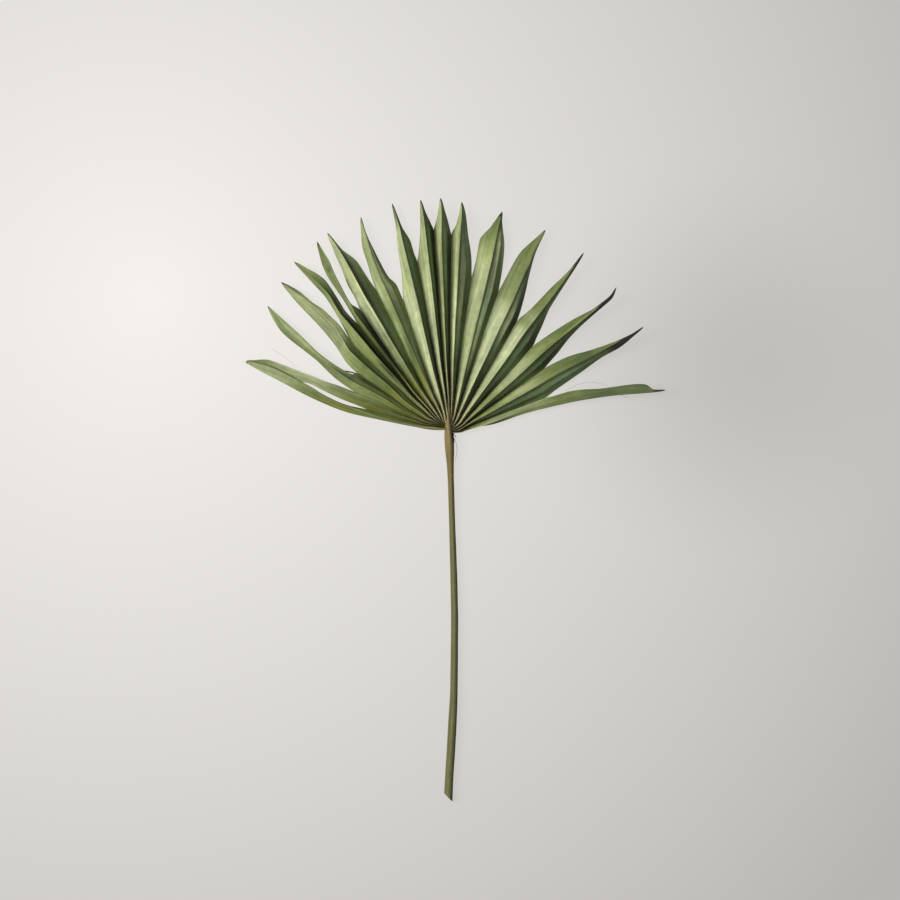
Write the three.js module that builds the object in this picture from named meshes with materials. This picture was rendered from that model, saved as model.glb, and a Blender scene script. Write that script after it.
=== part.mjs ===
// Fan palm leaf: a cut, dried leaf that lies on its front, with the ribbed back upwards.
// Millimetres, +Z up. The stalk runs along -Y and the fan opens towards +Y. The origin is on
// the surface that the leaf lies on, below the middle of its length and width.

import * as THREE from 'three';

// Driving dimensions ------------------------------------------------------------------

const HUB = { x: -5.4, y: 76.4 };   // where the folds of the fan meet
const BLADE_THICKNESS = 0.8;
const GAP = 0.3;                    // left open between neighbouring segments
const VALLEY_Z = 0.9;               // top of the blade along the folds that touch the surface
const HUB_RISE = 7.6;               // height of a segment's rib beside the stalk
const MID_RADIUS = 70;              // where the ribs have risen to MID_RISE
const MID_RISE = 9.2;
const TIP_HALF_WIDTH = 0.6;
const RIB_INSET = 0.12;             // least width of either half, as a part of the whole
const LONGEST_STEP = 14;            // between cross-sections along a segment
const SHORTEST_STEP = 4;
const ACROSS = [-1, -0.5, 0, 0.5, 1];   // left edge, left half, rib, right half, right edge
const CUT_SLOPE = 1.03;             // the stalk's end is cut on a slant of about 45 degrees

// The folds between neighbouring segments, from left to right: how far from the hub the
// blade stays whole along the fold, and the fold's direction in degrees from +X.
const FOLDS = [
  { radius: 88, angle: 166.5 },
  { radius: 109, angle: 158.4 },
  { radius: 114, angle: 148.5 },
  { radius: 147, angle: 137.6 },
  { radius: 151, angle: 131.2 },
  { radius: 161, angle: 126.9 },
  { radius: 170, angle: 117.9 },
  { radius: 147, angle: 109.8 },
  { radius: 183, angle: 100.8 },
  { radius: 215, angle: 94.6 },
  { radius: 209, angle: 89.5 },
  { radius: 164, angle: 81.7 },
  { radius: 156, angle: 70.4 },
  { radius: 137, angle: 58.0 },
  { radius: 125, angle: 45.2 },
  { radius: 120, angle: 33.0 },
  { radius: 106, angle: 18.6 },
];

// The segments, from left to right. Each place is [radius from the hub, angle from +X].
// rib is the middle fold; left and right are the free edges beyond the last whole fold, or
// the outer margin of the blade, which lies margin_z high. start is the radius where the
// segment leaves the stalk, rise the height of its rib where it is widest, and tip_z how high
// its tip lies. A segment opens out flat by the radius flat_from, or only at its tip.
const SEGMENTS = [
  { start: 6.6, rib: [[7, 175], [88, 168.6], [162, 164.2]], tip: [232, 161.8],
    left: [[7, 187], [21, 181.5], [38, 176.2], [74, 172.5], [109, 170.9], [145, 167.9], [188, 164.4]],
    right: [[111, 166.9], [135, 165.4], [162, 163.1], [209, 161.0]],
    rise: 6, tip_z: 9, margin_z: 2.5, flat_from: 150 },
  { start: 6.8, rib: [[7, 162.4], [109, 162.0], [162, 160.8]], tip: [231, 161.4],
    left: [[106, 165.2], [122, 164.4], [143, 163.0], [162, 162.2], [209, 160.8]],
    right: [[128, 158.7], [149, 159.3], [208, 159.3], [223, 160.6]],
    rise: 8, tip_z: 5, flat_from: 150 },
  { start: 7.2, rib: [[7, 153.4], [110, 153.6], [164, 151.2], [209, 148.9]], tip: [237, 146.0],
    left: [[131, 156.4], [164, 152.6], [209, 150.0]],
    right: [[122, 150.5], [136, 150.8], [160, 150.1], [192, 147.8]],
    rise: 10, tip_z: 5, flat_from: 155 },
  { start: 8, rib: [[8, 143.0], [133, 141.7], [155, 139.2], [170, 137.9], [190, 137.7]], tip: [241, 139.0],
    left: [[130, 147.2], [149, 144.2], [162, 142.9], [188, 141.3], [211, 140.5]],
    right: [[168, 136.7], [187, 136.7], [202, 137.4], [216, 137.5]], rise: 12, tip_z: 6 },
  { start: 9, rib: [[9, 134.2], [168, 133.6], [199, 131.9]], tip: [246, 133.0],
    left: [[171, 134.9], [185, 133.9], [199, 133.2], [229, 133.2]],
    right: [[170, 131.6], [182, 130.9], [208, 130.0], [231, 131.6]], rise: 12, tip_z: 9 },
  { start: 13, rib: [[13, 129.0], [157, 129.3], [172, 128.5], [191, 127.7], [210, 126.7]], tip: [247, 125.4],
    left: [[166, 130.2], [180, 129.5], [213, 128.6], [235, 126.7]],
    right: [[166, 127.6], [172, 128.3], [191, 127.4], [211, 126.4], [223, 125.7], [235, 125.5]],
    rise: 14, tip_z: 12, flat_from: 195 },
  { start: 11, rib: [[11, 122.6], [162, 122.6], [195, 122.0], [220, 121.7]], tip: [249, 122.0],
    left: [[177, 125.7], [188, 125.4], [206, 124.1], [231, 123.0]],
    right: [[182, 118.4], [209, 119.1], [225, 121.0]], rise: 13, tip_z: 7 },
  { start: 13.5, rib: [[14, 114.0], [176, 114.5], [201, 114.2], [224, 113.5]], tip: [248, 112.8],
    left: [[184, 117.2], [201, 116.3], [217, 115.7], [230, 114.5]],
    right: [[165, 110.2], [179, 112.1], [212, 113.0], [227, 113.2]], rise: 12, tip_z: 5 },
  { start: 22, rib: [[22, 105.0], [155, 104.0], [223, 104.0]], tip: [251, 104.4],
    left: [[162, 108.2], [178, 106.9], [201, 106.0], [226, 104.9]],
    right: [[193, 101.4], [207, 101.8], [223, 103.3]], rise: 13, tip_z: 4 },
  { start: 28.6, rib: [[29, 97.4], [186, 96.9], [217, 97.0]], tip: [249, 97.3],
    left: [[202, 99.2], [222, 98.2], [236, 97.8]],
    right: [[225, 95.5], [236, 96.5]], rise: 15, tip_z: 6 },
  { start: 29, rib: [[29, 92.4], [195, 92.4], [236, 92.2]], tip: [249, 92.3],
    left: [[224, 93.8], [232, 93.2]],
    right: [[222, 90.4], [234, 91.3]], rise: 16, tip_z: 8 },
  { start: 22, rib: [[22, 86.4], [203, 86.8], [228, 86.8]], tip: [245, 87.0],
    left: [[221, 88.1], [235, 87.4]],
    right: [[184, 82.6], [212, 84.7], [233, 85.9]], rise: 15, tip_z: 6 },
  { start: 13, rib: [[13, 75.6], [126, 75.7], [190, 76.0], [215, 76.3]], tip: [241, 76.5],
    left: [[186, 81.0], [207, 80.9], [220, 78.8]],
    right: [[185, 72.0], [206, 73.4], [232, 76.0]], rise: 13, tip_z: 5 },
  { start: 8, rib: [[8, 64.5], [134, 63.6], [172, 64.0], [190, 64.2], [204, 63.9]], tip: [238, 64.4],
    left: [[168, 69.8], [204, 68.2], [225, 65.8]],
    right: [[170, 61.2], [188, 62.8], [217, 64.2]], rise: 12, tip_z: 6 },
  { start: 6, rib: [[6, 52.0], [169, 52.1], [204, 52.4]], tip: [238, 52.8],
    left: [[158, 55.8], [185, 54.4], [217, 53.0]],
    right: [[151, 48.5], [168, 50.4], [204, 51.7], [223, 52.2]], rise: 12, tip_z: 9 },
  { start: 6, rib: [[6, 39.0], [166, 39.4], [202, 39.3]], tip: [235, 40.4],
    left: [[153, 43.2], [182, 41.3], [203, 39.9], [222, 39.7]],
    right: [[142, 35.3], [162, 37.4], [182, 38.3], [202, 38.6], [222, 38.8]], rise: 12, tip_z: 12 },
  { start: 5, rib: [[5, 26.0], [129, 27.0], [191, 27.2]], tip: [235, 27.8],
    left: [[147, 31.6], [176, 29.1], [201, 27.9], [219, 27.6]],
    right: [[123, 20.7], [158, 23.8], [184, 25.4], [200, 25.6], [219, 26.7]], rise: 12, tip_z: 14 },
  { start: 5, rib: [[5, 5], [73, 14.6], [130, 14.9], [196, 12.8]], tip: [235, 10.2],
    left: [[116, 17.9], [136, 17.4], [169, 14.9], [206, 13.5], [216, 12.7], [224, 10.8]],
    right: [[5, -16], [19, 2], [32, 5.2], [45, 6.4], [73, 11.0], [96, 12.3], [130, 12.5],
      [167, 11.9], [223, 10.2]], rise: 5, tip_z: 16, margin_z: 5, flat_from: 150 },
];

// The stalk from its cut end to the point of its rib on the fan: y along the leaf, x of its
// bow, width, height of its back, and height of its underside above the surface.
const STALK = [
  { y: -320.7, x: -7.2, width: 8.4, top: 7.0, bottom: 0 },
  { y: -302, x: -6.4, width: 8.9, top: 7.2, bottom: 0 },
  { y: -270, x: -4.4, width: 9.2, top: 7.2, bottom: 0 },
  { y: -238, x: -2.7, width: 9.1, top: 7.0, bottom: 0 },
  { y: -205, x: -1.2, width: 8.1, top: 6.7, bottom: 0 },
  { y: -168, x: -0.8, width: 7.9, top: 6.5, bottom: 0 },
  { y: -130, x: -0.5, width: 7.7, top: 6.4, bottom: 0 },
  { y: -89, x: -1.2, width: 7.5, top: 6.3, bottom: 0 },
  { y: -55, x: -2.2, width: 7.1, top: 6.2, bottom: 0 },
  { y: -16, x: -3.4, width: 6.5, top: 6.2, bottom: 0 },
  { y: 20, x: -4.5, width: 6.6, top: 6.6, bottom: 0 },
  { y: 40, x: -5.2, width: 7.8, top: 7.4, bottom: 0 },
  { y: 56, x: -6.0, width: 9.8, top: 8.4, bottom: 0 },
  { y: 68, x: -6.8, width: 9.4, top: 9.0, bottom: 0 },
  { y: 76, x: -7.2, width: 8.2, top: 9.4, bottom: 0.4 },
  { y: 84, x: -7.4, width: 6.4, top: 9.8, bottom: 0.8 },
  { y: 94, x: -7.6, width: 3.8, top: 10.2, bottom: 1.6 },
  { y: 104, x: -7.6, width: 1.2, top: 10.2, bottom: 4 },
];

// The stalk's section, as parts of its width and height: flat below, a rounded keel above.
const STALK_SECTION = [
  [-0.40, 0], [0.40, 0], [0.5, 0.25], [0.47, 0.55], [0.30, 0.86], [0.05, 1],
  [-0.22, 0.93], [-0.44, 0.66], [-0.5, 0.28],
];

// Colours -----------------------------------------------------------------------------

const stalkMaterial = new THREE.MeshStandardMaterial({ color: 0x7f8450, roughness: 0.7, metalness: 0 });

function bladeMaterial() {
  return new THREE.MeshStandardMaterial({ color: 0x6f8447, roughness: 0.65, metalness: 0 });
}

// Helpers -----------------------------------------------------------------------------

// A smooth curve through [x, y] points that never swings past them.
function along(points, x) {
  const last = points.length - 1;
  if (x <= points[0][0]) return points[0][1];
  if (x >= points[last][0]) return points[last][1];
  const i = points.findIndex((point) => point[0] > x) - 1;
  const step = points[i + 1][0] - points[i][0];
  const t = (x - points[i][0]) / step;
  const m0 = tangent(points, i) * step;
  const m1 = tangent(points, i + 1) * step;
  const [y0, y1] = [points[i][1], points[i + 1][1]];
  const t2 = t * t;
  const t3 = t2 * t;
  return (2 * t3 - 3 * t2 + 1) * y0 + (t3 - 2 * t2 + t) * m0 + (3 * t2 - 2 * t3) * y1 + (t3 - t2) * m1;
}

// The slope at a point: the harmonic mean of its two neighbours' slopes, or 0 at a turn.
function tangent(points, i) {
  const slope = (a, b) => (points[b][1] - points[a][1]) / (points[b][0] - points[a][0]);
  if (i === 0) return slope(0, 1);
  if (i === points.length - 1) return slope(i - 1, i);
  const before = slope(i - 1, i);
  const after = slope(i, i + 1);
  return before * after <= 0 ? 0 : (2 * before * after) / (before + after);
}

const radians = THREE.MathUtils.degToRad;
const degrees = THREE.MathUtils.radToDeg;

// A closed solid between two grids of points, rows by columns, with walls all round.
function shell(top, bottom) {
  const rows = top.length;
  const columns = top[0].length;
  const positions = [...top.flat(2), ...bottom.flat(2)];
  const upper = (r, c) => r * columns + c;
  const lower = (r, c) => rows * columns + upper(r, c);
  const triangles = [];
  const quad = (a, b, c, d) => triangles.push(a, b, c, a, c, d);
  for (let r = 0; r < rows - 1; r += 1) {
    for (let c = 0; c < columns - 1; c += 1) {
      quad(upper(r, c), upper(r, c + 1), upper(r + 1, c + 1), upper(r + 1, c));
      quad(lower(r + 1, c), lower(r + 1, c + 1), lower(r, c + 1), lower(r, c));
    }
    quad(upper(r, 0), upper(r + 1, 0), lower(r + 1, 0), lower(r, 0));
    quad(upper(r + 1, columns - 1), upper(r, columns - 1), lower(r, columns - 1), lower(r + 1, columns - 1));
  }
  for (let c = 0; c < columns - 1; c += 1) {
    quad(upper(0, c + 1), upper(0, c), lower(0, c), lower(0, c + 1));
    quad(upper(rows - 1, c), upper(rows - 1, c + 1), lower(rows - 1, c + 1), lower(rows - 1, c));
  }
  return toGeometry(positions, triangles);
}

function toGeometry(positions, triangles) {
  const geometry = new THREE.BufferGeometry();
  geometry.setAttribute('position', new THREE.Float32BufferAttribute(positions, 3));
  geometry.setIndex(triangles);
  geometry.computeVertexNormals();
  return geometry;
}

// Segments ----------------------------------------------------------------------------

// The angle of one edge at a radius: along the whole fold first, then along the free edge.
// side is +1 for the left edge and -1 for the right one.
function edgeAngle(segment, fold, side, radius) {
  const free = side > 0 ? segment.left : segment.right;
  const room = degrees(GAP / 2 / radius);
  if (fold && radius <= fold.radius) return fold.angle - side * room;
  const root = fold ? [[fold.radius, fold.angle - side * degrees(GAP / 2 / fold.radius)]] : [];
  const tip = [segment.tip[0], segment.tip[1] + side * degrees(TIP_HALF_WIDTH / segment.tip[0])];
  return along([...root, ...free, tip], radius);
}

// The height of the rib's back at a radius.
function ribHeight(segment, widest, radius) {
  const [tipRadius] = segment.tip;
  const points = [[segment.start, HUB_RISE], [MID_RADIUS, Math.min(MID_RISE, segment.rise)],
    [widest, segment.rise], [tipRadius, segment.tip_z]];
  return along(points, radius);
}

// One cross-section: five points over the back and five over the underside.
function crossSection(segment, leftFold, rightFold, radius) {
  const left = edgeAngle(segment, leftFold, 1, radius);
  const right = edgeAngle(segment, rightFold, -1, radius);
  const inset = RIB_INSET * (left - right);
  const rib = THREE.MathUtils.clamp(along([...segment.rib, segment.tip], radius), right + inset, left - inset);
  const widest = Math.max(leftFold?.radius ?? 0, rightFold?.radius ?? 0);
  const ribZ = ribHeight(segment, widest, radius);
  const flatFrom = segment.flat_from ?? segment.tip[0];
  const opening = THREE.MathUtils.clamp((radius - widest) / (flatFrom - widest), 0, 1);
  const foldZ = THREE.MathUtils.lerp(VALLEY_Z, ribZ - 0.1, opening);
  const marginZ = THREE.MathUtils.lerp(segment.margin_z, ribZ - 0.1, opening);
  const leftZ = leftFold ? foldZ : marginZ;
  const rightZ = rightFold ? foldZ : marginZ;
  const lowest = Math.min(leftZ, rightZ) - BLADE_THICKNESS;
  const top = [];
  const bottom = [];
  for (const s of ACROSS) {
    const edge = s < 0 ? left : right;
    const edgeZ = s < 0 ? leftZ : rightZ;
    const angle = radians(THREE.MathUtils.lerp(rib, edge, Math.abs(s)));
    const halfWidth = Math.max(radians(Math.abs(edge - rib)) * radius, 0.2);
    const x = HUB.x + radius * Math.cos(angle);
    const y = HUB.y + radius * Math.sin(angle);
    const z = THREE.MathUtils.lerp(ribZ, edgeZ, Math.abs(s));
    const drop = Math.abs(s) === 1 ? BLADE_THICKNESS
      : BLADE_THICKNESS * Math.hypot(1, (ribZ - edgeZ) / halfWidth);
    top.push([x, y, z]);
    bottom.push([x, y, Math.max(z - drop, lowest)]);
  }
  return { top, bottom };
}

// The radii of a segment's cross-sections: one at each named place, and even steps between.
function sectionRadii(segment, leftFold, rightFold) {
  const [tipRadius] = segment.tip;
  const places = [...segment.left, ...segment.rib, ...segment.right].map(([radius]) => radius);
  const folds = [leftFold, rightFold].filter(Boolean).map((fold) => fold.radius);
  const radii = [segment.start];
  for (const place of [...places, ...folds, tipRadius].sort((a, b) => a - b)) {
    const last = radii.at(-1);
    const tooNear = place - last < SHORTEST_STEP || tipRadius - place < SHORTEST_STEP;
    if (tooNear && place !== tipRadius) continue;
    const steps = Math.ceil((place - last) / LONGEST_STEP);
    for (let i = 1; i <= steps; i += 1) radii.push(THREE.MathUtils.lerp(last, place, i / steps));
  }
  return radii;
}

function makeSegment(segment, leftFold, rightFold) {
  const top = [];
  const bottom = [];
  for (const radius of sectionRadii(segment, leftFold, rightFold)) {
    const section = crossSection(segment, leftFold, rightFold, radius);
    top.push(section.top);
    bottom.push(section.bottom);
  }
  return shell(top, bottom);
}

// Stalk -------------------------------------------------------------------------------

function makeStalk() {
  const positions = [];
  const triangles = [];
  const count = STALK_SECTION.length;
  STALK.forEach((station, index) => {
    for (const [across, up] of STALK_SECTION) {
      const dx = across * station.width;
      const slant = index === 0 ? -dx * CUT_SLOPE : 0;
      const z = THREE.MathUtils.lerp(station.bottom, station.top, up);
      positions.push(station.x + dx, station.y + slant, z);
    }
  });
  for (let r = 0; r < STALK.length - 1; r += 1) {
    for (let c = 0; c < count; c += 1) {
      const a = r * count + c;
      const b = r * count + ((c + 1) % count);
      triangles.push(a, b + count, b, a, a + count, b + count);
    }
  }
  const last = (STALK.length - 1) * count;
  for (let c = 1; c < count - 1; c += 1) {
    triangles.push(0, c, c + 1);
    triangles.push(last, last + c + 1, last + c);
  }
  return toGeometry(positions, triangles);
}

// Assembly ----------------------------------------------------------------------------

const leaf = new THREE.Group();

const stalk = new THREE.Mesh(makeStalk(), stalkMaterial);
stalk.name = 'stalk';
leaf.add(stalk);

SEGMENTS.forEach((segment, index) => {
  const geometry = makeSegment(segment, FOLDS[index - 1], FOLDS[index]);
  const mesh = new THREE.Mesh(geometry, bladeMaterial());
  mesh.name = `segment_${String(index + 1).padStart(2, '0')}`;
  leaf.add(mesh);
});

export default leaf;
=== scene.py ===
"""Fan palm leaf, cut and dried, lying on its front with the ribbed back upwards.

Blender 4.5. Metres, +Z up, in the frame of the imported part: the stalk runs towards -Y and the
fan opens towards +Y. Every outline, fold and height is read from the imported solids, and this
script adds the surface: the section of each folded half, veins, thin margins, dried tips, the
ribbed stalk with its cut end, loose fibres and the materials.
"""
import math

import bpy
import numpy as np
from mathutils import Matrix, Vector, noise


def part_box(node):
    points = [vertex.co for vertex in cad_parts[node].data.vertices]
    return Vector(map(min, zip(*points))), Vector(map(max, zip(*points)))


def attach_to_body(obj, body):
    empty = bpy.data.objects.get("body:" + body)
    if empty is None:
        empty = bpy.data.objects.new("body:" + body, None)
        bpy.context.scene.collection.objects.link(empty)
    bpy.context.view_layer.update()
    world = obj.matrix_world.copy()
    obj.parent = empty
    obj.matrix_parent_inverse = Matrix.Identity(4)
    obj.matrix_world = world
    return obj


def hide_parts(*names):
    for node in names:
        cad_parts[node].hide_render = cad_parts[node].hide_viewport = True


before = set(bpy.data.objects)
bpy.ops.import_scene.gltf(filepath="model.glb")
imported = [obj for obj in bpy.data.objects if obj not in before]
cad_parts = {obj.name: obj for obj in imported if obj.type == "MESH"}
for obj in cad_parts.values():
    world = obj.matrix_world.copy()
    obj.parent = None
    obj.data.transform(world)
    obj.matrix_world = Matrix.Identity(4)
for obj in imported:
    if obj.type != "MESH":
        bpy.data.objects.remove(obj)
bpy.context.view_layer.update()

# Design values ------------------------------------------------------------------------

HUB = (-0.0054, 0.0764)          # where the folds of the fan meet, as in the solids
SEGMENTS = 18
MM = 0.001

ROW_STEP = 1.6 * MM              # between the rows of a segment's mesh
HALF_COLUMNS = 16                # mesh columns from the rib to one edge
BLADE_THICKNESS = 0.45 * MM
THINNEST = 0.25 * MM             # where the blade comes down to the floor
FLOOR_GAP = 0.05 * MM            # the blade's front stays this far above the floor
EDGE_CLOSE = 0.19 * MM           # closes the gap that the solids keep between segments

ROOT_RADIUS = 1.2 * MM           # the segments run on under the stalk's head up to here
ROOT_TURN = 10 * MM              # within this radius they turn in to the stalk
ROOT_DIP = 3.6 * MM              # how far the right hand folds dip there
DIP_RADIUS = 12 * MM

# Within this radius the folds gather beside the stalk's head. They move by up to this many mm:
# apart to both sides, all to the left, all down, and the right hand ones further down.
GATHER_RADIUS = 130 * MM
GATHER_APART = 5.0
GATHER_LEFT = 1.9
GATHER_DOWN = 1.0
GATHER_TILT = 2.0

TIP_POINT = 5 * MM               # the length over which a tip runs to a point
TIP_PROFILE = ([0, 0.35, 1], [0.12, 0.75, 1])

RIB_WIDTH = 0.8 * MM
RIB_HEIGHT = 0.5 * MM
RIB_TAPER = 0.6                  # how much of its height the rib loses towards the tip
RIB_WORN = 0.8                   # how much it lacks where it is low
FULL_RIB = 4 * MM                # halves narrower than this have a lower rib

SHARP_ANGLE = 50                 # edges sharper than this, in degrees, aren't smoothed
NOISE_GAIN = 1.6                 # brings Blender's noise to about -1 to 1
SHORTEST_RUN = 0.01 * MM         # keeps the slope finite where mesh columns meet


# Small helpers ------------------------------------------------------------------------

def smooth_curve(x, y, at):
    """A curve through points that never swings past them (monotone cubic)."""
    x, y, at = np.asarray(x, float), np.asarray(y, float), np.asarray(at, float)
    step = np.diff(x)
    slope = np.diff(y) / step
    tangent = np.zeros(len(x))
    turns = slope[:-1] * slope[1:] <= 0
    both = slope[:-1] + slope[1:]
    both[turns] = 1.0
    tangent[1:-1] = np.where(turns, 0.0, 2 * slope[:-1] * slope[1:] / both)
    tangent[0], tangent[-1] = slope[0], slope[-1]
    i = np.clip(np.searchsorted(x, at, side="right") - 1, 0, len(x) - 2)
    t = np.clip((at - x[i]) / step[i], 0.0, 1.0)
    h = step[i]
    return ((2 * t**3 - 3 * t**2 + 1) * y[i] + (t**3 - 2 * t**2 + t) * h * tangent[i]
            + (3 * t**2 - 2 * t**3) * y[i + 1] + (t**3 - t**2) * h * tangent[i + 1])


def smooth_step(low, high, x):
    t = np.clip((np.asarray(x, float) - low) / (high - low), 0.0, 1.0)
    return t * t * (3 - 2 * t)


def mix(a, b, amount):
    return a + (b - a) * amount


def wobble(x, y, seed):
    """Smooth noise between about -1 and 1 on a grid of x and y."""
    x, y = np.broadcast_arrays(x, y)
    flat = [noise.noise(Vector((a, b, seed))) for a, b in zip(np.ravel(x), np.ravel(y))]
    return np.reshape(flat, np.shape(x)) * NOISE_GAIN


def srgb(red, green, blue):
    """A colour given as display values from 0 to 255, in Blender's linear scale."""
    values = np.array([red, green, blue]) / 255
    return np.where(values <= 0.04045, values / 12.92, ((values + 0.055) / 1.055) ** 2.4)


def mesh_object(name, points, faces, smooth=True):
    mesh = bpy.data.meshes.new(name)
    mesh.from_pydata([tuple(p) for p in points], [], faces)
    mesh.update()
    if smooth:
        mesh.polygons.foreach_set("use_smooth", [True] * len(mesh.polygons))
        mesh.set_sharp_from_angle(angle=math.radians(SHARP_ANGLE))
    piece = bpy.data.objects.new(name, mesh)
    bpy.context.scene.collection.objects.link(piece)
    return piece


def shell_faces(rows, columns):
    """Faces of a closed sheet: an upper grid, a lower grid and the walls between them."""
    r, c = np.meshgrid(np.arange(rows - 1), np.arange(columns - 1), indexing="ij")
    a = (r * columns + c).ravel()
    lower = rows * columns
    up = np.stack([a, a + 1, a + columns + 1, a + columns], 1)
    down = np.stack([a + columns, a + columns + 1, a + 1, a], 1) + lower
    left = np.arange(rows - 1) * columns
    right = left + columns - 1
    start = np.arange(columns - 1)
    tip = start + (rows - 1) * columns
    walls = [np.stack([left, left + columns, left + columns + lower, left + lower], 1),
             np.stack([right + columns, right, right + lower, right + columns + lower], 1),
             np.stack([start + 1, start, start + lower, start + 1 + lower], 1),
             np.stack([tip, tip + 1, tip + 1 + lower, tip + lower], 1)]
    return np.concatenate([up, down, *walls]).tolist()


def tube_faces(rows, sides):
    """Faces of a tube between rings of points, without its ends."""
    r, c = np.meshgrid(np.arange(rows - 1), np.arange(sides), indexing="ij")
    a = (r * sides + c).ravel()
    b = (r * sides + (c + 1) % sides).ravel()
    return np.stack([a, b, b + sides, a + sides], 1).tolist()


def paint(piece, grain, colours):
    """Stores where each point lies along the grain, and its colour, for the material."""
    mesh = piece.data
    mesh.attributes.new("grain", "FLOAT_VECTOR", "POINT").data.foreach_set(
        "vector", np.ravel(grain).astype(np.float32))
    colours = np.concatenate([colours, np.ones((len(colours), 1))], 1)
    mesh.attributes.new("tone", "FLOAT_COLOR", "POINT").data.foreach_set(
        "color", np.ravel(colours).astype(np.float32))


def attach(piece, material, node):
    piece.data.materials.append(material)
    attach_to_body(piece, "root")
    if node:
        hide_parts(node)


# The segments' outlines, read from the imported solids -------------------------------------

# Points of a solid that are further apart than this belong to different rows, corners or
# stations.
ROW_GAP = 1 * MM
CORNER_GAP = 0.04 * MM
STATION_GAP = 0.02 * MM


def groups_of(values, gap):
    """Indices of sorted values, cut wherever the next value is more than a gap away."""
    order = np.argsort(values)
    cuts = np.flatnonzero(np.diff(values[order]) > gap) + 1
    return np.split(order, cuts)


def cad_rows(node):
    """A segment's cross-sections: radius, then angles and heights of left edge, rib, right edge."""
    points = np.array([v.co[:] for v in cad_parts[node].data.vertices])
    x, y = points[:, 0] - HUB[0], points[:, 1] - HUB[1]
    radius, angle = np.hypot(x, y), math.pi / 2 + np.arctan2(-x, y)
    rows = []
    for here in groups_of(radius, ROW_GAP):
        r = radius[here].mean()
        corners = [here[g] for g in groups_of(-angle[here] * r, CORNER_GAP)]
        turns = [angle[c].mean() for c in corners]
        heights = [points[c, 2].max() for c in corners]
        rows.append([r, turns[0], turns[2], turns[4], heights[0], heights[2], heights[4]])
    return np.array(rows)


# Where a segment's fold has opened out flat, as a part of its length.
OPENS_AT = {2: 0.52, 3: 0.66, 4: 0.88, 5: 0.76}
OPENING_LENGTH = 0.16
RIB_FADES = 0.10                 # the rib starts to fade this much before the fold is flat
STAYS_FOLDED = 2.0               # beyond the tip

# The second segment's lower margin lies under the first segment towards their shared tip.
TUCKED = 1
TUCK = 2.8 * MM
TUCK_FROM = (158 * MM, 172 * MM)
TUCK_DEPTH = 0.9 * MM

# Valleys that bend towards the segment on their left: by how much, and over which radii the
# bend comes in and dies away, all in mm.
DRIFTS = {
    3: (2.3, (60, 85), (135, 152)),
    5: (1.7, (20, 45), (88, 112)),
    6: (1.7, (20, 45), (88, 112)),
    7: (1.4, (20, 45), (88, 112)),
}
NO_DRIFT = (0, (0, 1), (1, 2))

# Where the folds lean sideways: the middle and spread in degrees around the hub, the radii over
# which the lean comes in and dies away, and how far it moves a fold (to the left is positive).
LEANS = (
    (44, 20, (6, 16), (80, 145), -1.85),
    (92, 24, (6, 16), (28, 85), -1.35),
    (90, 30, (85, 120), (190, 240), 0.70),
    (134, 18, (22, 60), (110, 170), 2.05),
    (150, 19, (8, 24), (44, 86), 3.20),
    (163, 9, (135, 160), (195, 230), -1.00),
)

# The section of a folded half: how much of its drop is reached at a part of its width. The lit
# half is nearly straight, and the other falls steeply from the rib, has a shelf and falls again.
LIT_PROFILE = ([0, 0.10, 0.45, 0.75, 1.0], [0, 0.12, 0.44, 0.72, 1.0])
SHELF_PROFILE = ([0, 0.13, 0.30, 0.56, 0.76, 1.0], [0, 0.34, 0.46, 0.54, 0.86, 1.0])

# How marked each segment's shelf is: 0 is a straight half, 1 is the profile above.
SHELVES = (0.2, 0.2, 0.3, 0.4, 0.7, 0.4, 1.0, 1.0, 0.9,
           0.9, 0.9, 1.1, 1.2, 1.1, 1.0, 0.9, 0.8, 0.2)

# Lengthwise creases: waves in each half, and their depth as a part of the half's width. A
# second set is finer and shallower.
CREASES = 2.1
CREASE_DEPTH = 0.010
FINE_CREASES = 3.1
FINE_DEPTH = 0.35

# The curl of the dried leaf, slow and quick: the length of a bend in metres, bends across a
# half, and the height as a part of the half's width.
SLOW_CURL = (0.045, 0.8, 0.035)
QUICK_CURL = (0.014, 1.6, 0.012)
FREE_FROM = (0.35, 0.75)         # where a segment parts from its neighbours, along it


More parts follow.
